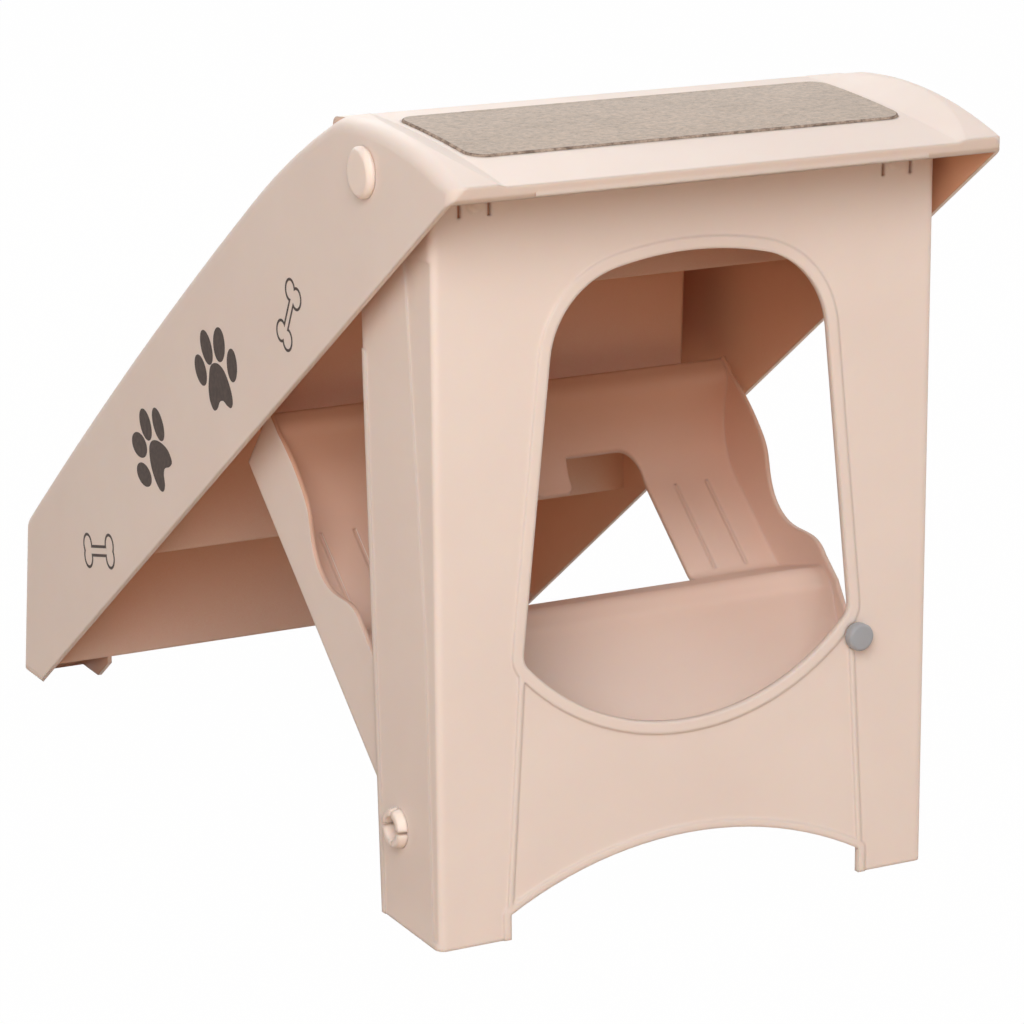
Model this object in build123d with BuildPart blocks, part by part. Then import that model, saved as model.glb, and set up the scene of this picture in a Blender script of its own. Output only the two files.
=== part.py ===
from build123d import *
import math
import os

os.makedirs("parts", exist_ok=True)

# Folding pet stairs: a moulded stair body, a leg panel hinged under its high end and a brace
# hinged in the leg. Millimetres. X runs across, the low end is at -Y, the high end at +Y.
# The origin is on the floor, in the middle of the footprint.

# Whole stairs
length = 683.0
half_width = 200.0
height = 495.0
wall = 3.0
overrun = 30.0
side_lean_share = 0.03
toe_y = -length / 2
tip_y = length / 2

# Side outline of the stair body
toe_rise = 119.0
toe_lean = 7.0
toe_depth = 32.6
nose_round = 14.0
ridge_bow = 5.5
ridge_mid_share = 0.7815
ridge_mid_rise = 15.7
crown_ahead = 113.5
knee_ahead = 41.0
knee_round = 45.0
rim_radius = 335.0
rear_corner_in = 3.5
rear_corner_deep = 7.7
rear_corner_round = 12.0
edge_round = 9.0
crown_y = tip_y - crown_ahead
knee_y = crown_y - knee_ahead

# Passage between the side rails
passage_half = half_width - 50.0
rim_foot_half = passage_half + 2.0
rim_top_half = half_width - 24.0

# Steps
step_count = 4
first_nose_y = toe_y + 54.5
first_nose_z = 143.0
top_nose_y = crown_y - 65.0
top_nose_round = 6.0
cross_top_share = 0.88
going = (top_nose_y - first_nose_y) / (step_count - 1)
riser_lean = 4.0
riser_foot_z = 20.0
nosing_round = 8.0
crown_block_back = 34.0
crown_block_deep = 22.0
crown_block_dip = 1.6

# Floor of the platform between its rims: level with them at the first edge, lower behind
floor_tip_drop = 1.8
floor_bow = 3.6
floor_deepest = 9.5
lip_band_deep = 1.6
lip_band_in = 0.8

# Carpet pads
pad_half = passage_half - 2.5
pad_front = 26.0
pad_deep = going - 50.0
platform_pad_deep = 100.0
pad_proud = 1.4
pad_seat = 1.6
pad_gap = 0.2
pad_round = 12.0

# Leg panel
leg_half = half_width - 27.3
leg_rear = tip_y - 48.8
leg_lean_share = 0.01516
leg_top = height - 21.0
leg_front_foot = leg_rear - 77.7
leg_front_waist = leg_rear - 100.1
leg_waist_z = leg_top - 91.0
leg_corner_round = 5.5
leg_inner_round = 3.0
leg_return = 15.0
boss_radius = 17.0

# Window and arch in the leg panel
window_low = 121.0
window_low_half = leg_half - 57.7
window_low_side = 174.0
window_top = leg_top - 60.5
window_top_half = leg_half - 80.7
window_top_side = leg_top - 80.0
window_low_round = 12.0
window_top_round = 58.0
arch_half = leg_half - 48.7
arch_spring_z = 16.0
arch_top = 48.0
window_bead = 7.5
arch_bead = 5.0
bead_proud = 1.2
seam_half_top = window_low_half - 4.0
seam_top = 213.0
seam_width = 3.5
foot_bead = 5.0

# Sunk strip along the rear of the leg's sides, and the bead along their front edge
strip_deep = 0.8
strip_foot = 8.2
strip_mid = 14.6
strip_mid_z = 204.7
strip_top = 35.9
strip_top_z = leg_top - 53.0
front_bead_width = 4.5
front_bead_proud = 0.8
front_bead_top = leg_waist_z - 30.0

# Snap tabs at the top of the leg panel
tab_slot_in = leg_half - 38.2
tab_slot_out = leg_half - 18.7
tab_slot_width = 2.4
tab_slot_low = leg_top - 28.0
tab_bump_x = leg_half - 29.3
tab_bump_z = leg_top - 19.2
tab_bump_radius = 6.3
tab_bump_proud = 3.0
bump_taper = 30.0

# Stops under the platform
stop_half = 60.0
stop_thick = 3.0
stop_deep = 30.0
stop_gap = 0.4
stop_root = (wall + pad_seat) / 2

# Pivots
upper_y = leg_rear - 65.2
upper_z = leg_top - 8.0
lower_y = leg_rear - 53.7
lower_z = 63.0
side_gap = 0.5

# Pivot pins
pin_head_radius = 15.5
pin_head_thick = 5.0
pin_shank_radius = 11.0
pin_bore_radius = 7.5
pin_barb_radius = 12.9
pin_barb_taper = 14.0
pin_head_chamfer = 2.2
pin_tail = 6.0
pin_slot_width = 2.4
pin_slot_deep = 13.0
pin_fit = 0.08
pin_end_gap = 0.2
pin_boss_radius = 17.5
body_boss_radius = 14.0

# Brace: s runs from the lower pivot towards the steps, h runs square to it, up and back
brace_end_back = 5.1
brace_end_under = 8.6
brace_half = leg_half - wall - 1.2
brace_web = 4.0
brace_rear_h = 46.5
brace_top_h = 41.0
brace_lift = 2.0
brace_crease_in = 14.0
brace_apron_in = 30.0
brace_apron_h = 13.0
brace_strip_in = 52.0
brace_strip_low = 146.0
brace_hump_top = 114.0
brace_hump_low = 98.0
brace_hump_h = 41.0
brace_foot_bend = 40.0
brace_foot_h = 6.0
brace_foot = 22.0
brace_top_round = 12.0
brace_apron_round = 45.0
brace_hump_round = 10.0
brace_flange_round = 19.0
brace_window_half = brace_half - 70.5
brace_window_low = 141.0
brace_window_in = 39.0
brace_window_round = 16.0
groove_places = (brace_half - 49.5, brace_half - 25.5)
groove_width = 2.4
groove_deep = 1.2
groove_low = 152.0
groove_in = 66.0
grip_tab_near = 16.0
grip_tab_far = 43.0
grip_tab_in = 62.0
grip_tab_round = 5.5

# Lock button in the leg panel
button_x = leg_half - 53.1
button_z = 157.7
button_radius = 8.7
button_long = 6.0
button_chamfer = 1.0
button_cup_radius = 6.9
button_cup_deep = 4.0
button_stem_radius = 4.0
button_fit = 0.1
button_travel = 2.0
button_spare = 0.2
button_barb_radius = 4.8
button_barb_long = 1.6
button_barb_taper = 20.0
button_slot_width = 1.2
spring_wire = 0.9
spring_radius = 5.6
spring_turns = 2
spring_sides = 6


def rim_z(y, drop=0.0):
    """Height of the crowned rims at y, or of a line drop below them."""
    radius = rim_radius - drop
    return height - rim_radius + math.sqrt(radius ** 2 - (y - crown_y) ** 2)


def wall_x(z):
    """Outside of the leaning side wall at height z."""
    return half_width - side_lean_share * z


def leg_y(z):
    """Rear face of the leg panel at height z."""
    return leg_rear - leg_lean_share * z


crown_z = height - rim_radius
seat_x = wall_x(upper_z - pin_head_radius)
heel_y = toe_y + toe_depth
rear_low_y = tip_y - rear_corner_in
rear_low_z = rim_z(tip_y) - rear_corner_deep
under_slope = rear_low_z / (rear_low_y - heel_y)

# Circle of the platform's floor, from its chord and bow
floor_front = (top_nose_y, rim_z(top_nose_y))
floor_rear = (tip_y, rim_z(tip_y) - floor_tip_drop)
floor_chord = math.dist(floor_front, floor_rear)
floor_radius = floor_chord ** 2 / (8 * floor_bow) + floor_bow / 2
floor_lean = math.atan((floor_front[1] - floor_rear[1]) / (tip_y - top_nose_y))
floor_back = floor_radius - floor_bow
floor_y = (floor_front[0] + floor_rear[0]) / 2 - floor_back * math.sin(floor_lean)
floor_z = (floor_front[1] + floor_rear[1]) / 2 - floor_back * math.cos(floor_lean)
floor_axis = Axis((0, floor_y, floor_z), (1, 0, 0))
floor_arc = math.degrees(math.asin((tip_y - floor_y + overrun) / floor_radius))
riser = (floor_front[1] - first_nose_z) / (step_count - 1)


def under_z(y):
    """Height of the straight lower edge of the side walls at y."""
    return under_slope * (y - heel_y)


def platform_z(y, drop=0.0):
    """Height of the platform's floor at y, or of a line drop below it."""
    return floor_z + math.sqrt((floor_radius - drop) ** 2 - (y - floor_y) ** 2)


def side_outline(below):
    """Side outline of the stair body, its underside lowered by below."""
    nose = (toe_y + toe_lean, toe_rise)
    knee = (knee_y, rim_z(knee_y))
    tip = (tip_y, rim_z(tip_y))
    run = knee[0] - nose[0]
    rise = knee[1] - nose[1]
    bow_share = ridge_mid_rise / math.dist(nose, knee)
    middle = (nose[0] + ridge_mid_share * run - bow_share * rise,
              nose[1] + ridge_mid_share * rise + bow_share * run)
    crown_mid = (tip_y + knee_y) / 2
    foot = (toe_y - below * toe_lean / toe_rise, -below)
    rear_low = (rear_low_y - below * rear_corner_in / rear_corner_deep, rear_low_z - below)
    with BuildSketch() as outline:
        with BuildLine():
            lower_ridge = SagittaArc(nose, middle, ridge_bow)
            TangentArc(middle, knee, tangent=lower_ridge % 1)
            ThreePointArc(knee, (crown_mid, rim_z(crown_mid)), tip)
            Polyline(tip, rear_low, (heel_y, -below), foot, nose)
        make_face()
        fillet(outline.vertices().filter_by(lambda corner: corner.Y == nose[1]), nose_round)
        fillet(outline.vertices().filter_by(lambda corner: corner.X == knee[0]), knee_round)
    return outline.sketch_local


def hood(inset):
    """The stair body's outer form, or its inside when inset by the wall."""
    with BuildPart() as block:
        with BuildSketch(Plane.YZ):
            add(side_outline(overrun if inset else 0))
            if inset:
                offset(amount=-inset, kind=Kind.INTERSECTION)
        extrude(amount=half_width, both=True)
        with BuildSketch(Plane.XZ):
            foot = wall_x(-overrun) - inset
            crest = wall_x(height + overrun) - inset
            Polygon((-foot, -overrun), (foot, -overrun), (crest, height + overrun),
                    (-crest, height + overrun), align=None)
        extrude(amount=length, both=True, mode=Mode.INTERSECT)
        sides = block.faces().sort_by(Axis.X)
        rims = (sides[0].edges() + sides[-1].edges()).filter_by(
            lambda edge: edge.center().Z > max(0, under_z(edge.center().Y) + wall))
        fillet(rims, edge_round - inset)
        # Front of the platform, carried forward of the knees of the rails
        front_y = top_nose_y + inset
        back_y = top_nose_y + crown_block_back
        low = floor_front[1] - crown_block_deep
        with BuildSketch(Plane.YZ) as front:
            Polygon((front_y, low), (back_y, low),
                    (back_y, rim_z(back_y) - crown_block_dip - inset),
                    (front_y, floor_front[1] - inset), align=None)
            fillet(front.vertices().group_by(Axis.X)[0].sort_by(Axis.Y)[-1],
                   top_nose_round - inset)
        extrude(amount=rim_top_half - inset, both=True)
        with BuildSketch(Plane.XZ.offset(-floor_y)) as valley:
            low = floor_z + floor_radius - inset
            top_half = rim_foot_half + (rim_top_half - rim_foot_half) * overrun / floor_deepest
            Polygon((-rim_foot_half, low), (rim_foot_half, low), (top_half, low + overrun),
                    (-top_half, low + overrun), align=None)
        revolve(valley.sketch, axis=floor_axis, revolution_arc=-floor_arc, mode=Mode.SUBTRACT)
        # Rear corners, rounded as seen from above
        corner_x = wall_x(under_z(tip_y - rear_corner_round)) - rear_corner_round
        with BuildSketch(Plane.XY.offset(rear_low_z - overrun)):
            for side, align_x in ((-1, Align.MAX), (1, Align.MIN)):
                with Locations((side * corner_x, tip_y - rear_corner_round)):
                    Rectangle(overrun, overrun, align=(align_x, Align.MIN))
                    Circle(rear_corner_round - inset, mode=Mode.SUBTRACT)
        extrude(amount=height, mode=Mode.SUBTRACT)
    return block.part


def step_line(inset):
    """Corners of the steps from the foot of the first riser up, inset by the sheet."""
    points = [(first_nose_y - riser_lean + inset, riser_foot_z)]
    for step in range(step_count - 1):
        nose_y = first_nose_y + step * going + inset
        tread_z = first_nose_z + step * riser - inset
        points.append((nose_y, tread_z))
        points.append((nose_y + going - riser_lean, tread_z))
    return points


step_points = step_line(0)
under_points = step_line(wall)
noses = step_points[1::2]
riser_top_z = floor_front[1] - top_nose_round


def between(start, end, share):
    """Point at the given share of the way from start to end."""
    return (start[0] + share * (end[0] - start[0]), start[1] + share * (end[1] - start[1]))


def pad_outline(front, deep):
    """Outline of a carpet pad seen from above, its front edge at front."""
    with BuildSketch() as outline:
        with Locations((0, front)):
            RectangleRounded(2 * pad_half, deep, pad_round, align=(Align.CENTER, Align.MIN))
    return outline.sketch_local


def platform_pad(gap, top):
    """The platform's pad widened by gap all round, bent over its floor and proud by top."""
    with BuildPart() as pad:
        with BuildSketch(Plane.XY.offset(crown_z)):
            add(pad_outline(top_nose_y + pad_front, platform_pad_deep))
            if gap:
                offset(amount=gap)
        extrude(amount=height)
        with BuildSketch(Plane.YZ):
            with Locations((floor_y, floor_z)):
                Circle(floor_radius + top)
                Circle(floor_radius - pad_seat + pad_gap - gap, mode=Mode.SUBTRACT)
        extrude(amount=half_width, both=True, mode=Mode.INTERSECT)
    return pad.part


# Stair body: hollow side rails, open steps and the crowned platform, one moulding
inside = hood(wall)
with BuildPart() as cross_sheet:
    with BuildSketch(Plane.YZ) as low_steps:
        with BuildLine():
            Polyline(*step_points[:3], between(step_points[2], step_points[3], cross_top_share),
                     between(under_points[2], under_points[3], cross_top_share),
                     *reversed(under_points[:3]), close=True)
        make_face()
        fillet(low_steps.vertices().filter_by(
            lambda corner: abs(corner.X - first_nose_y) < wall / 2
            and abs(corner.Y - first_nose_z) < wall / 2), nosing_round)
    extrude(amount=half_width, both=True)
    add(inside, mode=Mode.INTERSECT)

with BuildPart() as stair_body:
    add(hood(0))
    add(inside, mode=Mode.SUBTRACT)
    with BuildSketch(Plane.YZ):
        with Locations((top_nose_y, 0)):
            Rectangle(length, height, align=(Align.MAX, Align.MIN))
    extrude(amount=passage_half, both=True, mode=Mode.SUBTRACT)
    for side in (-1, 1):
        with BuildSketch(Plane.YZ.offset(side * passage_half)):
            with BuildLine():
                Polyline((toe_y, 0), (under_points[0][0], 0), *under_points,
                         (top_nose_y + wall, height), (toe_y, height), close=True)
            make_face()
            add(side_outline(0), mode=Mode.INTERSECT)
        extrude(amount=side * wall)
    with BuildSketch(Plane.YZ) as sheet:
        with BuildLine():
            Polyline(*step_points, (top_nose_y, riser_top_z),
                     (top_nose_y + wall, riser_top_z),
                     *reversed(under_points), close=True)
        make_face()
        for nose_y, nose_z in noses:
            fillet(sheet.vertices().filter_by(
                lambda corner: abs(corner.X - nose_y) < wall / 2
                and abs(corner.Y - nose_z) < wall / 2), nosing_round)
    extrude(amount=passage_half + wall, both=True)
    # The lowest risers and the first tread run on across the rails
    add(cross_sheet.part)
    # Deeper band of the lip between the snap tabs
    with BuildSketch(Plane.YZ):
        Polygon((tip_y - wall, rear_low_z - lip_band_deep),
                (rear_low_y - lip_band_in, rear_low_z - lip_band_deep),
                (rear_low_y, rear_low_z), (rear_low_y, rear_low_z + wall),
                (tip_y - wall, rear_low_z + wall), align=None)
    extrude(amount=tab_slot_in - tab_slot_width, both=True)
    # Seats of the carpet pads
    for step in range(step_count - 1):
        with BuildSketch(Plane.XY.offset(first_nose_z + step * riser - pad_seat)):
            add(pad_outline(first_nose_y + step * going + pad_front, pad_deep))
            offset(amount=pad_gap)
        extrude(amount=pad_seat + wall, mode=Mode.SUBTRACT)
    add(platform_pad(pad_gap, overrun), mode=Mode.SUBTRACT)
    # Bosses and holes of the upper pivots, and stops over the top of the leg panel
    stop_low = leg_top + stop_gap
    stop_rear = leg_y(leg_top)
    stop_front = stop_rear - stop_deep
    for side in (-1, 1):
        with BuildSketch(Plane.YZ.offset(side * seat_x)):
            with Locations((upper_y, upper_z)):
                Circle(body_boss_radius)
        extrude(amount=-side * (seat_x - leg_half - side_gap))
        with BuildSketch(Plane.YZ.offset(side * (stop_half - stop_thick / 2))):
            with BuildLine():
                Polyline((stop_rear, stop_low), (stop_front, stop_low),
                         (stop_front, platform_z(stop_front, stop_root)),
                         (stop_rear, platform_z(stop_rear, stop_root)), close=True)
            make_face()
        extrude(amount=side * stop_thick)
    with BuildSketch(Plane.YZ):
        with Locations((upper_y, upper_z)):
            Circle(pin_shank_radius + pin_fit)
    extrude(amount=half_width, both=True, mode=Mode.SUBTRACT)
stair_body.part.label = "stair_body"
export_step(stair_body.part, "parts/stair_body.step")

# Carpet pads on the three treads
for step in range(step_count - 1):
    with BuildPart() as carpet_pad:
        with BuildSketch(Plane.XY.offset(first_nose_z + step * riser - pad_seat)):
            add(pad_outline(first_nose_y + step * going + pad_front, pad_deep))
        extrude(amount=pad_seat + pad_proud)
    carpet_pad.part.label = f"carpet_pad_{step + 1}"
    export_step(carpet_pad.part, f"parts/carpet_pad_{step + 1}.step")

# Carpet pad on the platform, bent over its floor
carpet_pad_top = platform_pad(0, pad_proud)
carpet_pad_top.label = "carpet_pad_top"
export_step(carpet_pad_top, "parts/carpet_pad_top.step")

leg_tilt = math.degrees(math.atan(leg_lean_share))
leg_plane = Plane(origin=(0, leg_rear, 0), x_dir=(-1, 0, 0),
                  z_dir=(0, math.cos(math.radians(leg_tilt)), math.sin(math.radians(leg_tilt))))
leg_inner_half = leg_half - wall


def window_outline():
    """Outline of the window in the leg panel."""
    with BuildSketch() as outline:
        with BuildLine():
            ThreePointArc((-window_low_half, window_low_side), (0, window_low),
                          (window_low_half, window_low_side))
            Line((window_low_half, window_low_side), (window_top_half, window_top_side))
            ThreePointArc((window_top_half, window_top_side), (0, window_top),
                          (-window_top_half, window_top_side))
            Line((-window_top_half, window_top_side), (-window_low_half, window_low_side))
        make_face()
        corners = outline.vertices()
        fillet(corners.group_by(Axis.Y)[0], window_low_round)
        fillet(outline.vertices().group_by(Axis.Y)[-1], window_top_round)
    return outline.sketch_local


def arch_outline():
    """Outline of the arch between the feet, run on below the floor."""
    with BuildSketch() as outline:
        with BuildLine():
            ThreePointArc((-arch_half, arch_spring_z), (0, arch_top), (arch_half, arch_spring_z))
            Polyline((arch_half, arch_spring_z), (arch_half, -overrun), (-arch_half, -overrun),
                     (-arch_half, arch_spring_z))
        make_face()
    return outline.sketch_local


def widened(outline, amount):
    """An outline grown by amount all round."""
    with BuildSketch() as grown:
        add(outline)
        offset(amount=amount)
    return grown.sketch_local


# Space inside the leg panel, open to the front
with BuildPart() as leg_space:
    top_y = leg_y(leg_top - wall) - wall
    with BuildSketch(Plane.YZ):
        with BuildLine():
            Polyline((leg_y(-overrun) - wall, -overrun), (top_y, leg_top - wall),
                     (top_y - leg_return, leg_top - wall), (top_y - leg_return, height),
                     (0, height), (0, -overrun), close=True)
        make_face()
        with Locations((0, leg_top)):
            Rectangle(length, height, align=(Align.CENTER, Align.MIN))
    extrude(amount=leg_inner_half, both=True)
    corners = leg_space.edges().filter_by(lambda edge: edge.center().Y > top_y
                                          and abs(edge.center().X) > leg_inner_half - wall
                                          and edge.length > leg_top - wall
                                          and edge.center().Z < leg_top)
    fillet(corners, leg_inner_round)

# Leg panel: a channel with a window, an arch between its feet, and snap tabs at its top
with BuildPart() as leg_panel:
    with BuildSketch(Plane.YZ):
        with BuildLine():
            Polyline((leg_y(0), 0), (leg_y(leg_top), leg_top), (leg_front_waist, leg_waist_z),
                     (leg_front_foot, 0), close=True)
        with BuildLine():
            CenterArc((upper_y, upper_z), boss_radius, 0, 360)
        make_hull()
    extrude(amount=leg_half, both=True)
    corners = leg_panel.edges().filter_by(lambda edge: edge.center().Y > leg_y(leg_top) - wall
                                          and abs(edge.center().X) > leg_half - wall
                                          and edge.length > leg_top - wall)
    fillet(corners, leg_corner_round)
    add(leg_space.part, mode=Mode.SUBTRACT)
    # Raised beads round the window, over the arch and down the inside of the posts
    with BuildSketch(leg_plane):
        add(window_outline())
        offset(amount=window_bead)
        add(widened(arch_outline(), arch_bead))
        for side in (-1, 1):
            with BuildLine():
                Polyline((side * seam_half_top, seam_top),
                         (side * (seam_half_top + seam_width), seam_top),
                         (side * (arch_half + seam_width), 0), (side * arch_half, 0),
                         close=True)
            make_face()
        with Locations((0, leg_top / 2)):
            Rectangle(2 * leg_half, leg_top, mode=Mode.INTERSECT)
        with Locations((button_x, button_z)):
            Circle(button_radius + button_spare, mode=Mode.SUBTRACT)
    extrude(amount=bead_proud)
    with BuildSketch(leg_plane):
        add(window_outline())
        add(arch_outline())
    extrude(amount=leg_rear, both=True, mode=Mode.SUBTRACT)
    # Snap tabs between two slots each, with a round bump
    with BuildSketch(leg_plane):
        for side in (-1, 1):
            for slot_x in (tab_slot_in, tab_slot_out):
                with Locations((side * slot_x, tab_slot_low)):
                    Rectangle(tab_slot_width, height, align=(Align.CENTER, Align.MIN))
    extrude(amount=wall + overrun, both=True, mode=Mode.SUBTRACT)
    with BuildSketch(leg_plane):
        with Locations((-tab_bump_x, tab_bump_z), (tab_bump_x, tab_bump_z)):
            Circle(tab_bump_radius)
    extrude(amount=tab_bump_proud, taper=bump_taper)
    # Sunk strips along the rear edges of the posts and raised beads along the front ones
    for side in (-1, 1):
        with BuildSketch(Plane.YZ.offset(side * (leg_half - strip_deep))):
            with BuildLine():
                Polyline((leg_y(0) - strip_foot, foot_bead),
                         (leg_y(strip_mid_z) - strip_mid, strip_mid_z),
                         (leg_y(strip_top_z) - strip_top, strip_top_z),
                         (tip_y, strip_top_z), (tip_y, foot_bead), close=True)
            make_face()
        extrude(amount=side * overrun, mode=Mode.SUBTRACT)
        bead_top = between((leg_front_foot, 0), (leg_front_waist, leg_waist_z),
                           front_bead_top / leg_waist_z)
        with BuildSketch(Plane.YZ.offset(side * (leg_half - wall / 2))):
            Polygon((leg_front_foot, 0), (leg_front_foot + front_bead_width, 0),
                    (bead_top[0] + front_bead_width, bead_top[1]), bead_top, align=None)
        extrude(amount=side * (wall / 2 + front_bead_proud))
    # Pivot holes and the button's hole
    with BuildSketch(Plane.YZ):
        with Locations((upper_y, upper_z), (lower_y, lower_z)):
            Circle(pin_shank_radius + pin_fit)
    extrude(amount=half_width, both=True, mode=Mode.SUBTRACT)
    with BuildSketch(leg_plane):
        with Locations((button_x, button_z)):
            Circle(button_stem_radius + button_fit)
    extrude(amount=wall + overrun, both=True, mode=Mode.SUBTRACT)
leg_panel.part.label = "leg_panel"
export_step(leg_panel.part, "parts/leg_panel.step")

# Brace: a channel with two crossbars and a window between them
brace_end = (under_points[4][0] + brace_end_back, under_points[4][1] - brace_end_under)
brace_tip = math.dist((lower_y, lower_z), brace_end)
brace_tilt = math.degrees(math.atan2(brace_end[1] - lower_z, lower_y - brace_end[0]))
brace_plane = Plane(origin=(0, lower_y, lower_z), z_dir=(-1, 0, 0),
                    x_dir=(0, -math.cos(math.radians(brace_tilt)),
                           math.sin(math.radians(brace_tilt))))
brace_inner_half = brace_half - wall
pin_grip = seat_x - leg_inner_half + pin_end_gap
lower_seat_x = leg_half + pin_end_gap - pin_grip
brace_wave_shares = ((0.94, 0.92), (0.87, 0.96), (0.78, 0.93), (0.735, 0.86), (0.69, 0.67),
                     (0.625, 0.5), (0.555, 0.57), (0.51, 0.76), (0.47, 0.94), (0.41, 1.0))

with BuildPart() as brace:
    with BuildSketch(brace_plane):
        with BuildLine():
            FilletPolyline((brace_tip, brace_top_h), (brace_tip - brace_crease_in, brace_top_h),
                           (brace_tip - brace_apron_in, brace_apron_h),
                           (brace_tip - brace_strip_in, -brace_web),
                           (brace_strip_low, -brace_web), (brace_hump_top, brace_hump_h),
                           (brace_hump_low, brace_hump_h), (brace_foot_bend, brace_foot_h),
                           (brace_foot, -brace_web),
                           radius=(brace_top_round, brace_apron_round, brace_apron_round,
                                   brace_hump_round, brace_hump_round, brace_hump_round,
                                   brace_hump_round))
            offset(amount=wall, side=Side.LEFT)
        make_face()
    extrude(amount=brace_half, both=True)
    for side in (-1, 1):
        with BuildSketch(brace_plane.offset(side * brace_inner_half)):
            with BuildLine():
                wave = [(share_s * brace_tip, share_h * brace_rear_h)
                        for share_s, share_h in brace_wave_shares]
                front_h = -brace_web - 2 * wall
                Polyline((0, front_h), (brace_tip, front_h),
                         (brace_tip, brace_top_h + brace_lift), wave[0])
                Spline(*wave)
                Polyline(wave[-1], (brace_hump_low, brace_rear_h), (0, pin_boss_radius),
                         (0, front_h))
            make_face()
            Circle(brace_flange_round)
        extrude(amount=side * wall)
    # Window between the crossbars, with a small tongue left under the upper one
    window_plane = Plane(origin=brace_plane.origin, x_dir=(-1, 0, 0), z_dir=brace_plane.y_dir)
    with BuildSketch(window_plane.offset(-overrun)) as window:
        with Locations((0, brace_window_low)):
            Rectangle(2 * brace_window_half, brace_tip - brace_window_in - brace_window_low,
                      align=(Align.CENTER, Align.MIN))
        fillet(window.vertices().group_by(Axis.Y)[-1], brace_window_round)
        with Locations(((grip_tab_near + grip_tab_far) / 2, brace_tip - grip_tab_in)):
            RectangleRounded(grip_tab_far - grip_tab_near, grip_tab_in,
                             grip_tab_round, align=(Align.CENTER, Align.MIN),
                             mode=Mode.SUBTRACT)
    extrude(amount=overrun + brace_apron_h + wall, mode=Mode.SUBTRACT)
    # Shallow grooves down the side strips
    with BuildSketch(window_plane.offset(-brace_web - groove_deep)):
        for side in (-1, 1):
            for groove_x in groove_places:
                with Locations((side * groove_x, groove_low)):
                    Rectangle(groove_width, brace_tip - groove_in - groove_low,
                              align=(Align.CENTER, Align.MIN))
    extrude(amount=wall, mode=Mode.SUBTRACT)
    # Pivot bosses with their holes
    for side in (-1, 1):
        with BuildSketch(brace_plane.offset(side * lower_seat_x)):
            Circle(pin_boss_radius)
        extrude(amount=side * (brace_half - lower_seat_x))
    with BuildSketch(brace_plane):
        Circle(pin_shank_radius + pin_fit)
    extrude(amount=half_width, both=True, mode=Mode.SUBTRACT)
brace.part.label = "brace"
export_step(brace.part, "parts/brace.step")


def snap_pin(name, seat, towards):
    """Hollow split pin with its head against the seat and its tail pointing towards."""
    seat_plane = Plane(origin=seat, x_dir=(0, 1, 0), z_dir=(towards, 0, 0))
    with BuildPart() as pin:
        with BuildSketch(seat_plane):
            Circle(pin_head_radius)
        extrude(amount=-pin_head_thick)
        head_face = pin.faces().sort_by(Axis(seat, seat_plane.z_dir))[0]
        chamfer(head_face.edges(), pin_head_chamfer)
        with BuildSketch(seat_plane):
            Circle(pin_shank_radius)
        extrude(amount=pin_grip + pin_tail)
        with BuildSketch(seat_plane.offset(pin_grip)):
            Circle(pin_barb_radius)
        extrude(amount=pin_tail, taper=pin_barb_taper)
        with BuildSketch(seat_plane):
            Circle(pin_bore_radius)
        extrude(amount=pin_grip + pin_tail, mode=Mode.SUBTRACT)
        with BuildSketch(seat_plane.offset(pin_grip + pin_tail)):
            Rectangle(pin_slot_width, 2 * pin_barb_radius)
            Rectangle(2 * pin_barb_radius, pin_slot_width)
        extrude(amount=-pin_slot_deep, mode=Mode.SUBTRACT)
    pin.part.label = name
    export_step(pin.part, f"parts/{name}.step")


for side, side_name in ((1, "left"), (-1, "right")):
    snap_pin(f"upper_pin_{side_name}", (side * seat_x, upper_y, upper_z), -side)
    snap_pin(f"lower_pin_{side_name}", (side * lower_seat_x, lower_y, lower_z), side)

# Lock button: a cap with a spring in it and a split stem through the leg panel
button_foot = button_travel + button_spare
button_point = leg_plane.from_local_coords((button_x, button_z, button_foot))
button_plane = Plane(origin=button_point, x_dir=leg_plane.x_dir, z_dir=leg_plane.z_dir)
with BuildPart() as lock_button:
    with BuildSketch(button_plane):
        Circle(button_radius)
    extrude(amount=button_long)
    cap_face = lock_button.faces().sort_by(Axis(button_point, button_plane.z_dir))[-1]
    chamfer(cap_face.edges(), button_chamfer)
    with BuildSketch(button_plane):
        Circle(button_cup_radius)
    extrude(amount=button_cup_deep, mode=Mode.SUBTRACT)
    stem_long = button_foot + wall + button_spare
    with BuildSketch(button_plane.offset(button_cup_deep)):
        Circle(button_stem_radius)
    extrude(amount=-(button_cup_deep + stem_long + button_barb_long))
    with BuildSketch(button_plane.offset(-stem_long)):
        Circle(button_barb_radius)
    extrude(amount=-button_barb_long, taper=button_barb_taper)
    with BuildSketch(button_plane.offset(-stem_long - button_barb_long)):
        Rectangle(button_slot_width, 2 * button_barb_radius)
    extrude(amount=wall + button_barb_long, mode=Mode.SUBTRACT)
lock_button.part.label = "lock_button"
export_step(lock_button.part, "parts/lock_button.step")

# Return spring of the button, coiled round its stem between the leg panel and the cap
coil_rise = button_foot + button_cup_deep - spring_wire - 2 * button_spare
coil_base = leg_plane.from_local_coords((button_x, button_z, spring_wire / 2 + button_spare))
with BuildPart() as button_spring:
    with BuildLine() as coil:
        Helix(pitch=coil_rise / spring_turns, height=coil_rise, radius=spring_radius,
              center=coil_base, direction=leg_plane.z_dir)
    with BuildSketch(Plane(origin=coil.line @ 0, z_dir=coil.line % 0)):
        RegularPolygon(spring_wire / 2, spring_sides)
    sweep(path=coil.line, is_frenet=True)
button_spring.part.label = "button_spring"
export_step(button_spring.part, "parts/button_spring.step")
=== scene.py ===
import math

import bmesh
import bpy
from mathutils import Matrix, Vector, noise


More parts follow.
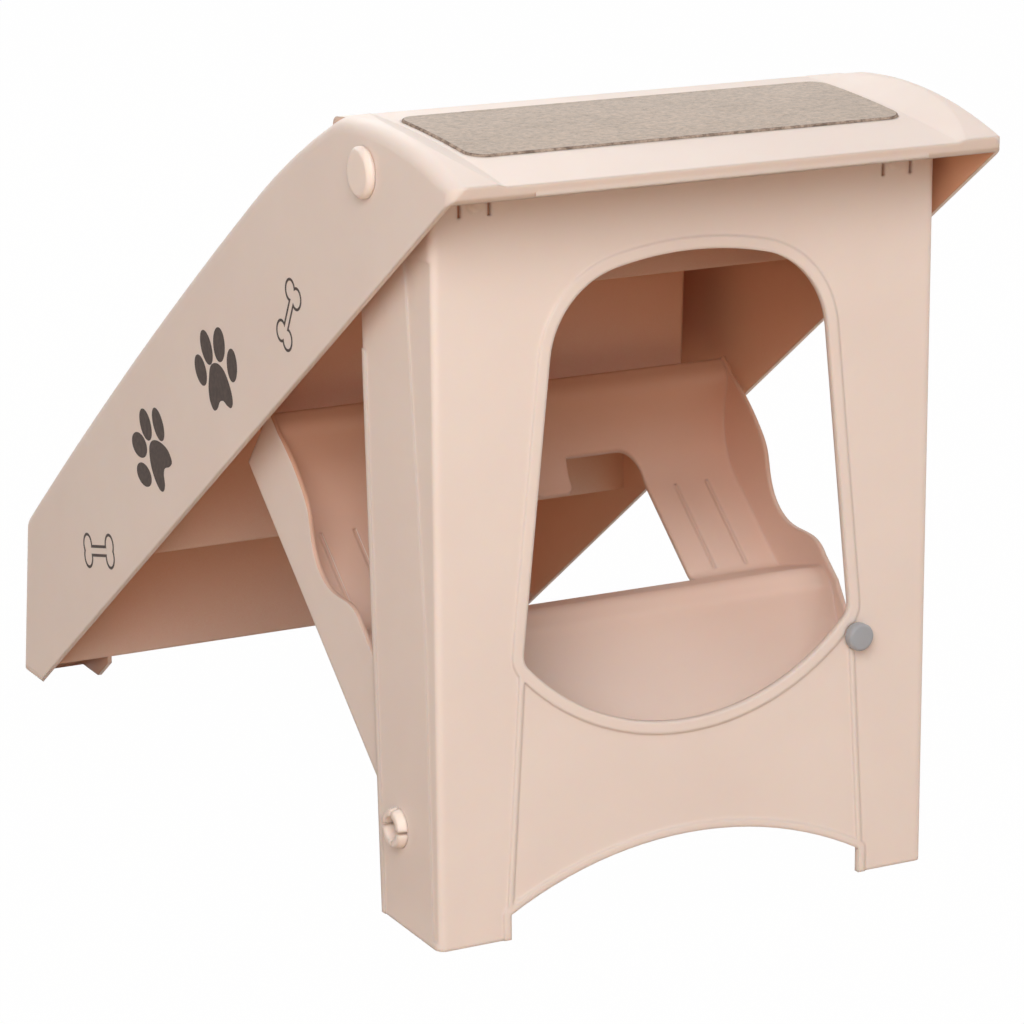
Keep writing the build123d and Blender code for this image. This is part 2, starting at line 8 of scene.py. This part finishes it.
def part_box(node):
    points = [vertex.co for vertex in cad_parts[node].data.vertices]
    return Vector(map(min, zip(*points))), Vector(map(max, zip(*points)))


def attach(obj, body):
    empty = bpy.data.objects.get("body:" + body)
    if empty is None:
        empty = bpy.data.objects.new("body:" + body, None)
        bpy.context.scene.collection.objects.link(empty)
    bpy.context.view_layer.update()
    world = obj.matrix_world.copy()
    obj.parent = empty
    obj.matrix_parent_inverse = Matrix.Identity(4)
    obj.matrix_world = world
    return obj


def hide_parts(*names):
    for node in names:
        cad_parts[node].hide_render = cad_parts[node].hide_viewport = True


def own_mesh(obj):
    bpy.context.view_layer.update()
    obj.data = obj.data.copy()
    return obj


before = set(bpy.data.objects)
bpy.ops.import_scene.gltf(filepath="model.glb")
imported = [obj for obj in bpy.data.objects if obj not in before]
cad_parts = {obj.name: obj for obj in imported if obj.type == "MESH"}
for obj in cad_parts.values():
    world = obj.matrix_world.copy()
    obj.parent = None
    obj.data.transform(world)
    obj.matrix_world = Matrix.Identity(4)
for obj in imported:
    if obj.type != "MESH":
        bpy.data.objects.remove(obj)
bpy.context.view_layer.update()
scene = bpy.context.scene
scene.view_settings.view_transform = "Standard"

# Camera of the photograph, in the frame of the part
camera_place = (1.14133, 2.24386, 0.88063)
camera_towards = (-0.44569, -0.85420, -0.26778)
camera_lens = 136.52
camera_near = 0.05
sensor_width = 36.0

# Floor and light: camera rays see white, and all other rays a plain warm floor and a weak sky
floor_reach = 6.0
floor_drop = 0.0006
floor_colour = (0.55, 0.40, 0.29, 1.0)
floor_rough = 0.9
floor_white = 0.992
sky_strength = 0.22
lamps = (
    # Name, place, aim, diameter and watts
    ("key", (1.7, 2.7, 2.2), (0, 0.1, 0.2), 2.6, 104),
    ("top", (0.2, 0.2, 3.0), (0, 0.1, 0.3), 2.4, 2),
    ("fill", (-2.6, 0.5, 1.5), (0, 0.1, 0.2), 2.0, 22),
    ("back", (-0.3, -2.6, 2.0), (0, 0, 0.2), 2.4, 44),
)

# Side walls: half the width at the floor, in metres, and lean inwards per metre of height
half_width = 0.200
side_lean = 0.03
# Arc of the platform's floor, in metres: its middle and its radius
platform_y = 0.15756
platform_z = -0.62755
platform_radius = 1.1162
# Softened look of the moulded edges
edge_soft = 0.003
edge_samples = 4

# Carpet pads: seat in the platform, height over it, gap, outline, rounded rim, grid and pile
pad_seat = 0.0016
pad_proud = 0.0014
pad_gap = 0.0002
pad_round = 0.012
pad_edge = 0.0011
pad_edge_steps = 5
pad_grid = 0.0016
pad_seeds = (11.0, 22.0, 33.0)
platform_seed = 47.0
# Cut pile: its unevenness, how far it stays under the rim, waves per metre, shares and seeds
pile = 0.0005
pile_sink = 0.6
tuft_waves = 620
fine_waves = 1400
patch_waves = 60
tuft_share = 0.75
fine_share = 0.6
patch_share = 0.5
fine_seed = 5
patch_seed = 9

# Return spring of the button, and steps in each turn and sides of its wire
button_axis = (0, 0.999885, 0.015158)
spring_wire = 0.0009
spring_turns = 3
spring_steps = 28
spring_sides = 10

# Colours of the surfaces in sRGB, 0 to 255: darker and lighter tone
plastic_tones = ((234, 216, 205), (238, 221, 210))
pin_tones = ((243, 224, 212), (246, 228, 216))
button_tones = ((163, 164, 168), (170, 171, 174))
carpet_tones = ((188, 165, 144), (200, 176, 155))
# Painted shadow: the rim tones are dark to draw the shadow line along each pad's edge
rim_shadow_tones = ((112, 95, 83), (184, 163, 146))
ink_tones = ((66, 53, 47), (80, 65, 58))
steel_grey = 0.6

# Roughness of the surfaces: smoother and rougher
plastic_rough = (0.5, 0.58)
pin_rough = (0.42, 0.5)
button_rough = (0.4, 0.5)
steel_rough = (0.25, 0.4)

# Painted shade: a darker, browner tone painted on the plastic in the hollows under the stairs and
# inside the top of the brace
stairs_painted_shade = (224, 172, 139)
brace_painted_shade = (208, 154, 124)

# Where the painted shade is laid: reach of the test for hollows, and where each test goes from
# shaded to open
hollow_reach = 0.3
hollow_samples = 8
hollow_span = (0.6, 1.0)
trodden_span = (0.2, 0.5)
brace_span = (0.30, 0.05)
outward_span = (0.03, 0.1)

# Patterns in the surfaces: waves per metre, and where they go from the darker to the lighter tone
flow_scale = 9.0
gloss_scale = 60.0
wave_scale = 26.0
grain_scale = 2600.0
fibre_scale = 360.0
fibre_stretch = (0.6, 1.0, 1.0)
fibre_dark = 0.42
fibre_depth = 0.75
brushed_scale = 26.0
rim_shadow_scale = 240.0
ink_scale = 300.0
steel_scale = 700.0
usual_span = (0.3, 0.7)
fibre_span = (0.32, 0.62)
rim_shadow_span = (0.35, 0.65)
ink_span = (0.35, 0.7)

# Prints on the side walls: depth in the wall and height over it, in metres, and steps of the lines
ink_under = 0.00005
ink_over = 0.00012
lobe_steps = 18
toe_steps = 36
heel_steps = 6
# Their places and sizes, in millimetres and degrees
mm_per_metre = 1000
bones = (
    # Middle along Y, middle along Z, angle, half length, half spread, lobe, half shaft, line
    (-188.6, 131.6, 13.2, 20.6, 4.1, 8.4, 4.1, 2.0),
    (123.9, 360.9, 66.4, 15.2, 5.1, 7.4, 3.7, 1.75),
)
paws = (
    # Middle, toes as middle, half length, half width and angle, and the outline of the heel pad
    ((-93.2, 226.6),
     ((-11.3, 14.2, 12.2, 8.4, -38), (10.5, 19.2, 12.6, 7.8, -42),
      (-21.7, -2.2, 13.3, 8.2, -4), (-13.2, -20.8, 13.0, 7.5, -6)),
     ((-4.5, -1.5), (-2.2, 4.0), (5.0, 7.2), (16.5, 7.7), (27.5, 5.2), (34.2, -0.8),
      (30.5, -5.2), (22.5, -8.2), (20.8, -13.0), (22.8, -19.5), (20.4, -24.4),
      (14.0, -24.6), (5.0, -19.0), (-2.0, -10.5))),
    ((11.3, 303.3),
     ((-22.8, -5.5, 11.4, 7.8, -40), (-14.0, 11.3, 12.4, 8.0, -46),
      (6.2, 17.2, 11.2, 9.3, -80), (27.0, 8.0, 10.7, 8.0, -78)),
     ((-9.6, -10.0), (-7.0, 0.5), (3.0, 4.4), (14.5, 1.8), (24.5, -7.0), (28.8, -15.0),
      (26.6, -19.8), (20.5, -19.8), (14.2, -18.0), (8.4, -19.8), (4.6, -25.2),
      (-1.0, -27.2), (-7.0, -22.8), (-9.6, -16.0))),
)


def srgb(red, green, blue):
    """Linear colour of an sRGB colour given in 0 to 255."""
    channels = []
    for value in (red, green, blue):
        value /= 255
        curve = ((value + 0.055) / 1.055) ** 2.4
        channels.append(value / 12.92 if value <= 0.04045 else curve)
    return (*channels, 1.0)


def srgb_pair(tones):
    """Linear colours of two sRGB colours."""
    return [srgb(*tone) for tone in tones]


def grey(value):
    """Grey colour of a linear value."""
    return (value, value, value, 1.0)


def grey_pair(values):
    """Grey colours of two linear values."""
    return [grey(value) for value in values]


def make_camera():
    data = bpy.data.cameras.new("camera")
    data.lens = camera_lens
    data.sensor_width = sensor_width
    data.clip_start = camera_near
    camera = bpy.data.objects.new("camera", data)
    camera.location = camera_place
    camera.rotation_mode = "QUATERNION"
    camera.rotation_quaternion = Vector(camera_towards).to_track_quat("-Z", "Y")
    scene.collection.objects.link(camera)
    scene.camera = camera


def area_light(name, place, aim, size, watts):
    data = bpy.data.lights.new(name, "AREA")
    data.shape = "DISK"
    data.size = size
    data.energy = watts
    lamp = bpy.data.objects.new(name, data)
    lamp.location = place
    lamp.rotation_mode = "QUATERNION"
    lamp.rotation_quaternion = (Vector(aim) - Vector(place)).to_track_quat("-Z", "Y")
    scene.collection.objects.link(lamp)


class Nodes:
    """A node tree and short ways to add and join its nodes."""

    def __init__(self, owner):
        owner.use_nodes = True
        self.tree = owner.node_tree
        self.shader = self.tree.nodes.get("Principled BSDF")

    def add(self, kind, values=None, **settings):
        node = self.tree.nodes.new(kind)
        for key, value in settings.items():
            setattr(node, key, value)
        for key, value in (values or {}).items():
            node.inputs[key].default_value = value
        return node

    def join(self, source, target):
        self.tree.links.new(source, target)

    def set(self, **values):
        """Values of the shader's own sockets, with _ for a space in their names."""
        for key, value in values.items():
            self.shader.inputs[key.replace("_", " ")].default_value = value

    def position(self):
        return self.add("ShaderNodeTexCoord").outputs["Object"]

    def axes(self, vector):
        """Outputs X, Y and Z of a vector."""
        node = self.add("ShaderNodeSeparateXYZ")
        self.join(vector, node.inputs["Vector"])
        return node.outputs

    def facing(self):
        """Outputs X, Y and Z of the way the surface faces."""
        return self.axes(self.add("ShaderNodeNewGeometry").outputs["True Normal"])

    def give(self, target, source):
        """Join a socket to the input, or set the input to a number or colour."""
        if isinstance(source, (float, tuple)):
            target.default_value = source
        else:
            self.join(source, target)

    def math(self, operation, *values):
        """What a maths node makes of one or two sockets or numbers."""
        node = self.add("ShaderNodeMath", operation=operation)
        for target, value in zip(node.inputs, values):
            self.give(target, value)
        return node.outputs[0]

    def noise(self, scale, detail=2.0, rough=0.5, vector=None):
        node = self.add("ShaderNodeTexNoise",
                        {"Scale": scale, "Detail": detail, "Roughness": rough})
        self.join(vector or self.position(), node.inputs["Vector"])
        return node.outputs["Fac"]

    def ramp(self, factor, colours, span=usual_span):
        """Colour that goes from the first to the second as the factor crosses the span."""
        node = self.add("ShaderNodeValToRGB")
        for element, place, colour in zip(node.color_ramp.elements, span, colours):
            element.position = place
            element.color = colour
        self.join(factor, node.inputs["Fac"])
        return node.outputs["Color"]

    def limits(self, value, span):
        """0 up to the first number of the span, 1 from the second, smooth between."""
        node = self.add("ShaderNodeMapRange", {"From Min": span[0], "From Max": span[1]},
                        interpolation_type="SMOOTHSTEP")
        self.join(value, node.inputs["Value"])
        return node.outputs["Result"]

    def mix(self, factor, one, two, blend_type="MIX"):
        """Mix of two colours."""
        node = self.add("ShaderNodeMix", data_type="RGBA", blend_type=blend_type)
        for key, value in (("Factor", factor), ("A", one), ("B", two)):
            self.give(node.inputs[key], value)
        return node.outputs["Result"]

    def bump(self, height, strength, distance, before=None):
        node = self.add("ShaderNodeBump", {"Strength": strength, "Distance": distance})
        self.join(height, node.inputs["Height"])
        if before:
            self.join(before, node.inputs["Normal"])
        return node.outputs["Normal"]

    def mixed_surface(self, factor, one, two, output):
        """Surface that is one where factor is 0 and two where it is 1."""
        node = self.add("ShaderNodeMixShader")
        self.join(factor, node.inputs["Fac"])
        self.join(one, node.inputs[1])
        self.join(two, node.inputs[2])
        self.join(node.outputs[0], self.tree.nodes[output].inputs["Surface"])


def material_nodes(name):
    """A new material and its nodes."""
    material = bpy.data.materials.new(name)
    return material, Nodes(material)


def stairs_shade_mask(nodes):
    """Mask of the painted shade: 0 in hollows under the stairs, where shade is painted, 1 on open
    faces and all that faces up, down or forward.
    """
    hollow = nodes.add("ShaderNodeAmbientOcclusion", {"Distance": hollow_reach},
                       samples=hollow_samples, only_local=True)
    facing = nodes.facing()
    level = nodes.math("ABSOLUTE", facing["Z"])
    front = nodes.math("MULTIPLY", facing["Y"], -1.0)
    trodden = nodes.math("MAXIMUM", level, front)
    return nodes.math("MAXIMUM", nodes.limits(hollow.outputs["AO"], hollow_span),
                      nodes.limits(trodden, trodden_span))


def brace_shade_mask(nodes):
    """Mask of the painted shade: 0 inside the top of the brace, where shade is painted, 1 at its
    foot and on the outer faces of its flanges.
    """
    place = nodes.axes(nodes.position())
    outward = nodes.math("MULTIPLY", place["X"], nodes.facing()["X"])
    return nodes.math("MAXIMUM", nodes.limits(place["Z"], brace_span),
                      nodes.limits(outward, outward_span))


def plastic_material(name, tones, rough, shade_mask=None, deep=None):
    """Fine matt moulded plastic with slight flow marks, and painted shade: a darker, browner tone
    where the mask marks a hollow.
    """
    material, nodes = material_nodes(name)
    shader = nodes.shader
    tone = nodes.ramp(nodes.noise(flow_scale, detail=3.0), srgb_pair(tones))
    if shade_mask:
        # Painted shade: the darker tone is mixed in where the mask is near 0
        tone = nodes.mix(shade_mask(nodes), srgb(*deep), tone)
    nodes.join(tone, shader.inputs["Base Color"])
    nodes.join(nodes.ramp(nodes.noise(gloss_scale, detail=3.0), grey_pair(rough)),
               shader.inputs["Roughness"])
    soft_edge = nodes.add("ShaderNodeBevel", {"Radius": edge_soft}, samples=edge_samples)
    grain = nodes.bump(nodes.noise(grain_scale), strength=0.12, distance=0.0002,
                       before=soft_edge.outputs["Normal"])
    waves = nodes.bump(nodes.noise(wave_scale), strength=0.25, distance=0.0008, before=grain)
    nodes.join(waves, shader.inputs["Normal"])
    nodes.set(Subsurface_Weight=0.25, Subsurface_Radius=(1.0, 0.55, 0.3), Subsurface_Scale=0.004)
    return material


def carpet_material():
    """Short cut pile: fine fibres that lie across the pad, and brushed patches."""
    material, nodes = material_nodes("carpet")
    shader = nodes.shader
    stretch = nodes.add("ShaderNodeMapping", {"Scale": fibre_stretch})
    nodes.join(nodes.position(), stretch.inputs["Vector"])
    fibre = nodes.noise(fibre_scale, detail=5.0, rough=0.75, vector=stretch.outputs["Vector"])
    fine = nodes.ramp(fibre, grey_pair((fibre_dark, 1.0)), fibre_span)
    patches = nodes.ramp(nodes.noise(brushed_scale, detail=3.0, rough=0.6),
                         srgb_pair(carpet_tones))
    nodes.join(nodes.mix(fibre_depth, patches, fine, "MULTIPLY"), shader.inputs["Base Color"])
    nodes.join(nodes.bump(fibre, strength=0.7, distance=0.0008), shader.inputs["Normal"])
    nodes.set(Roughness=0.95, Sheen_Weight=0.35, Sheen_Roughness=0.5)
    return material


def rim_shadow_material():
    """Cut edge of a pad, with painted shadow: a darker tone that draws the shadow line along the
    pad's edge.
    """
    material, nodes = material_nodes("carpet_rim_shadow")
    nodes.join(nodes.ramp(nodes.noise(rim_shadow_scale, detail=3.0, rough=0.7),
                          srgb_pair(rim_shadow_tones), rim_shadow_span),
               nodes.shader.inputs["Base Color"])
    nodes.set(Roughness=0.95)
    return material


def ink_material():
    """Dark print with slight changes of tone."""
    material, nodes = material_nodes("printed_ink")
    nodes.join(nodes.ramp(nodes.noise(ink_scale), srgb_pair(ink_tones), ink_span),
               nodes.shader.inputs["Base Color"])
    nodes.set(Roughness=0.6, Specular_IOR_Level=0.25)
    return material


def steel_material():
    """Drawn wire, in parts a little duller."""
    material, nodes = material_nodes("spring_steel")
    nodes.join(nodes.ramp(nodes.noise(steel_scale), grey_pair(steel_rough)),
               nodes.shader.inputs["Roughness"])
    nodes.set(Metallic=1.0, Base_Color=grey(steel_grey))
    return material


def dress(node, material):
    """Give a CAD node one material."""
    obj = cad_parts[node]
    obj.data.materials.clear()
    obj.data.materials.append(material)


def new_piece(name, mesh, material, body):
    """Piece with one material that rides on a body."""
    obj = bpy.data.objects.new(name, mesh)
    scene.collection.objects.link(obj)
    mesh.materials.append(material)
    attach(obj, body)
    return obj


def smooth_mesh(name, mesh):
    """Smooth mesh data of a bmesh, which is freed."""
    data = bpy.data.meshes.new(name)
    mesh.to_mesh(data)
    mesh.free()
    data.shade_smooth()
    return data


def make_floor():
    """White where camera or gloss look at it, and a plain warm floor for the rest."""
    mesh = bpy.data.meshes.new("floor")
    corners = [(-floor_reach, -floor_reach, 0), (floor_reach, -floor_reach, 0),
               (floor_reach, floor_reach, 0), (-floor_reach, floor_reach, 0)]
    mesh.from_pydata(corners, [], [(0, 1, 2, 3)])
    floor = bpy.data.objects.new("floor", mesh)
    floor.location = (0, 0, -floor_drop)
    scene.collection.objects.link(floor)
    material, nodes = material_nodes("floor")
    nodes.set(Base_Color=floor_colour, Roughness=floor_rough)
    glow = nodes.add("ShaderNodeEmission", {"Color": grey(1.0), "Strength": 1.0})
    rays = nodes.add("ShaderNodeLightPath").outputs
    seen = nodes.math("MAXIMUM", rays["Is Camera Ray"], rays["Is Glossy Ray"])
    nodes.mixed_surface(nodes.math("MULTIPLY", seen, floor_white), nodes.shader.outputs[0],
                        glow.outputs[0], "Material Output")
    mesh.materials.append(material)


def make_world():
    """White where camera, gloss or glass look at it, and a weak even light for the rest."""
    world = bpy.data.worlds.new("world")
    scene.world = world
    nodes = Nodes(world)
    light = nodes.tree.nodes["Background"]
    light.inputs["Color"].default_value = grey(1.0)
    light.inputs["Strength"].default_value = sky_strength
    white = nodes.add("ShaderNodeBackground", {"Color": grey(1.0), "Strength": 1.0})
    rays = nodes.add("ShaderNodeLightPath").outputs
    seen = nodes.math("MAXIMUM", rays["Is Camera Ray"], rays["Is Glossy Ray"])
    seen = nodes.math("MAXIMUM", seen, rays["Is Transmission Ray"])
    nodes.mixed_surface(seen, light.outputs[0], white.outputs[0], "World Output")


make_camera()
make_floor()
make_world()
for lamp in lamps:
    area_light(*lamp)

# Materials on the moulded parts, with painted shade in the hollows of the stairs and inside the
# brace
for node, shade_mask, deep in (("stair_body", stairs_shade_mask, stairs_painted_shade),
                              ("leg_panel", None, None),
                              ("brace", brace_shade_mask, brace_painted_shade)):
    dress(node, plastic_material(f"moulded_plastic_{node}", plastic_tones, plastic_rough,
                                 shade_mask, deep))
pin_plastic = plastic_material("pin_plastic", pin_tones, pin_rough)
for side in ("left", "right"):
    dress(f"upper_pin_{side}", pin_plastic)
    dress(f"lower_pin_{side}", pin_plastic)
dress("lock_button", plastic_material("button_plastic", button_tones, button_rough))


# Return spring of the button, which rides on the button
def make_spring():
    low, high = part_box("button_spring")
    middle = (low + high) / 2
    reach = (high.x - low.x - spring_wire) / 2
    out = Vector(button_axis)
    across = Vector((1, 0, 0))
    up = across.cross(out)
    rise = high.y - low.y - spring_wire
    pitch = rise / (math.tau * spring_turns)
    steps = spring_steps * spring_turns
    around = [math.tau * side / spring_sides for side in range(spring_sides)]
    mesh = bmesh.new()
    rings = []
    for step in range(steps + 1):
        turn = math.tau * spring_turns * step / steps
        away = math.cos(turn) * across + math.sin(turn) * up
        along = (math.cos(turn) * up - math.sin(turn) * across) * reach + pitch * out
        beside = along.cross(away).normalized()
        point = middle + away * reach + (turn * pitch - rise / 2) * out
        rings.append([mesh.verts.new(point + (math.cos(a) * away + math.sin(a) * beside)
                                     * spring_wire / 2) for a in around])
    for one, two in zip(rings, rings[1:]):
        for side in range(spring_sides):
            after = (side + 1) % spring_sides
            mesh.faces.new((one[side], one[after], two[after], two[side]))
    mesh.faces.new(rings[0])
    mesh.faces.new(list(reversed(rings[-1])))
    bmesh.ops.recalc_face_normals(mesh, faces=mesh.faces)
    spring = new_piece("return_spring", smooth_mesh("return_spring", mesh), steel_material(),
                       "button")
    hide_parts("button_spring")
    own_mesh(spring)


make_spring()


# Carpet pads with a cut pile, laid flat on the treads and bent over the platform
def pad_profile(thick):
    """Inset and height pairs of the pad's edge, from its foot over its rounded rim."""
    rim = []
    for i in range(pad_edge_steps + 1):
        turn = math.pi / 2 * i / pad_edge_steps
        rim.append((pad_edge * (1 - math.cos(turn)),
                    thick - pad_edge + pad_edge * math.sin(turn)))
    return [(0.0, 0.0)] + rim


def pile_height(x, y, seed):
    """Uneven cut pile: soft patches with fine tufts."""
    tuft = noise.noise(Vector((x * tuft_waves + seed, y * tuft_waves, seed)))
    fine = noise.noise(Vector((x * fine_waves, y * fine_waves + seed, seed + fine_seed)))
    tuft += fine_share * fine
    patch = noise.noise(Vector((x * patch_waves + seed, y * patch_waves, seed + patch_seed)))
    return pile * (tuft_share * tuft + patch_share * patch)


class Pad:
    """Outline and surface of a pad in the place of a CAD pad."""

    def __init__(self, node, bent):
        self.low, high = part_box(node)
        self.bent = bent
        self.deep = high.y - self.low.y
        self.half = high.x
        self.thick = pad_seat + pad_proud - pad_gap if bent else high.z - self.low.z

    def point(self, x, y, up):
        """Point at x, at y from the pad's front, and at a height over its foot."""
        y += self.low.y
        if not self.bent:
            return Vector((x, y, self.low.z + up))
        radius = platform_radius - pad_seat + pad_gap + up
        return Vector((x, y, platform_z + math.sqrt(radius ** 2 - (y - platform_y) ** 2)))

    def squeezed(self, u, v, inset):
        """Place in the rounded outline, moved in by inset, of a point of a -1 to 1 square."""
        x = u * (self.half - inset)
        y = self.deep / 2 + v * (self.deep / 2 - inset)
        dx = abs(x) - (self.half - pad_round)
        dy = abs(y - self.deep / 2) - (self.deep / 2 - pad_round)
        if dx > 0 and dy > 0:
            reach = max(dx, dy)
            length = math.hypot(dx, dy)
            dx, dy = dx * reach / length, dy * reach / length
            x = math.copysign(self.half - pad_round + dx, x)
            y = self.deep / 2 + math.copysign(self.deep / 2 - pad_round + dy, y - self.deep / 2)
        return x, y


def make_pad(name, node, bent, seed):
    """Cut pile pad: a grid on top, then rings down its edge, and one face under it."""
    pad = Pad(node, bent)
    columns = round(2 * pad.half / pad_grid)
    rows = round(pad.deep / pad_grid)
    mesh = bmesh.new()
    grid = []
    for row in range(rows + 1):
        line = []
        for column in range(columns + 1):
            u = 2 * column / columns - 1
            v = 2 * row / rows - 1
            x, y = pad.squeezed(u, v, pad_edge)
            edge = row in (0, rows) or column in (0, columns)
            up = pad.thick + (0.0 if edge else pile_height(x, y, seed) - pile * pile_sink)
            line.append((mesh.verts.new(pad.point(x, y, min(up, pad.thick))), u, v))
        grid.append(line)
    for near, far in zip(grid, grid[1:]):
        for column in range(columns):
            mesh.faces.new((near[column][0], near[column + 1][0],
                            far[column + 1][0], far[column][0]))
    rim = (grid[0][:columns] + [line[columns] for line in grid[:rows]]
           + grid[rows][:0:-1] + [line[0] for line in grid[:0:-1]])
    ring = [entry[0] for entry in rim]
    # The faces down the edge take the second material, the painted shadow along the pad's edge
    for inset, up in reversed(pad_profile(pad.thick)[:-1]):
        lower = [mesh.verts.new(pad.point(*pad.squeezed(u, v, inset), up)) for _, u, v in rim]
        for i in range(len(ring)):
            j = (i + 1) % len(ring)
            mesh.faces.new((ring[j], ring[i], lower[i], lower[j])).material_index = 1
        ring = lower
    mesh.faces.new(list(reversed(ring)))
    mesh.normal_update()
    data = smooth_mesh(name, mesh)
    piece = new_piece(name, data, carpet, "stairs")
    data.materials.append(carpet_rim_shadow)
    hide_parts(node)


carpet = carpet_material()
carpet_rim_shadow = rim_shadow_material()
for number, seed in enumerate(pad_seeds, 1):
    make_pad(f"tread_pad_{number}", f"carpet_pad_{number}", False, seed)
make_pad("platform_pad", "carpet_pad_top", True, platform_seed)


# Paw prints and bones printed on both side walls
def turned(x, y, angle):
    """Point (x, y) turned by angle degrees."""
    c, s = math.cos(math.radians(angle)), math.sin(math.radians(angle))
    return (c * x - s * y, s * x + c * y)


def moved(loop, y, z):
    """Points of a loop moved by y and z."""
    return [(y + u, z + v) for u, v in loop]


def bone_outline(half_long, half_spread, lobe, half_shaft, inset):
    """Closed outline of a bone along x, inset by a line's width."""
    radius = lobe - inset
    shaft = half_shaft - inset
    notch = math.asin(half_spread / radius)
    foot = math.pi - math.asin((shaft - half_spread) / radius)
    quarter = []
    for step in range(lobe_steps + 1):
        angle = -notch + (foot + notch) * step / lobe_steps
        quarter.append((half_long + radius * math.cos(angle),
                        half_spread + radius * math.sin(angle)))
    half = quarter + [(-x, y) for x, y in reversed(quarter)]
    return half + [(x, -y) for x, y in reversed(half)]


def oval(x, y, half_long, half_wide, angle):
    """Closed outline of a toe."""
    points = []
    for step in range(toe_steps):
        turn = math.tau * step / toe_steps
        u, v = turned(half_long * math.cos(turn), half_wide * math.sin(turn), angle)
        points.append((x + u, y + v))
    return points


def smooth_loop(points):
    """Closed smooth line through the points."""
    count = len(points)
    line = []
    for i in range(count):
        a, b, c, d = (Vector(points[(i + k) % count]) for k in (-1, 0, 1, 2))
        for step in range(heel_steps):
            t = step / heel_steps
            line.append(tuple(0.5 * (2 * b + (c - a) * t + (2 * a - 5 * b + 4 * c - d) * t ** 2
                                     + (3 * b - a - 3 * c + d) * t ** 3)))
    return line


def printed(name, loops, side):
    """Thin print filling closed outlines given in millimetres along Y and Z of a side wall."""
    curve = bpy.data.curves.new(name, "CURVE")
    curve.dimensions = "2D"
    curve.fill_mode = "BOTH"
    curve.extrude = (ink_under + ink_over) / 2
    for loop in loops:
        spline = curve.splines.new("POLY")
        spline.points.add(len(loop) - 1)
        for point, (y, z) in zip(spline.points, loop):
            point.co = (y / mm_per_metre, z / mm_per_metre, 0, 1)
        spline.use_cyclic_u = True
    shape = bpy.data.objects.new(name, curve)
    mesh = bpy.data.meshes.new_from_object(shape)
    bpy.data.objects.remove(shape)
    lift = (ink_over - ink_under) / 2
    for vert in mesh.vertices:
        y, z, out = vert.co
        vert.co = (side * (half_width - side_lean * z + out + lift), y, z)
    if side < 0:
        mesh.flip_normals()
    new_piece(name, mesh, ink, "stairs")


ink = ink_material()
for side, side_name in ((1, "left"), (-1, "right")):
    for number, (y, z, angle, *sizes, line) in enumerate(bones, 1):
        loops = []
        for inset in (0, line):
            outline = [turned(*point, angle) for point in bone_outline(*sizes, inset)]
            loops.append(moved(outline, y, z))
        printed(f"bone_print_{number}_{side_name}", loops, side)
    for number, ((y, z), toes, heel) in enumerate(paws, 1):
        loops = [moved(oval(*toe), y, z) for toe in toes] + [moved(smooth_loop(heel), y, z)]
        printed(f"paw_print_{number}_{side_name}", loops, side)
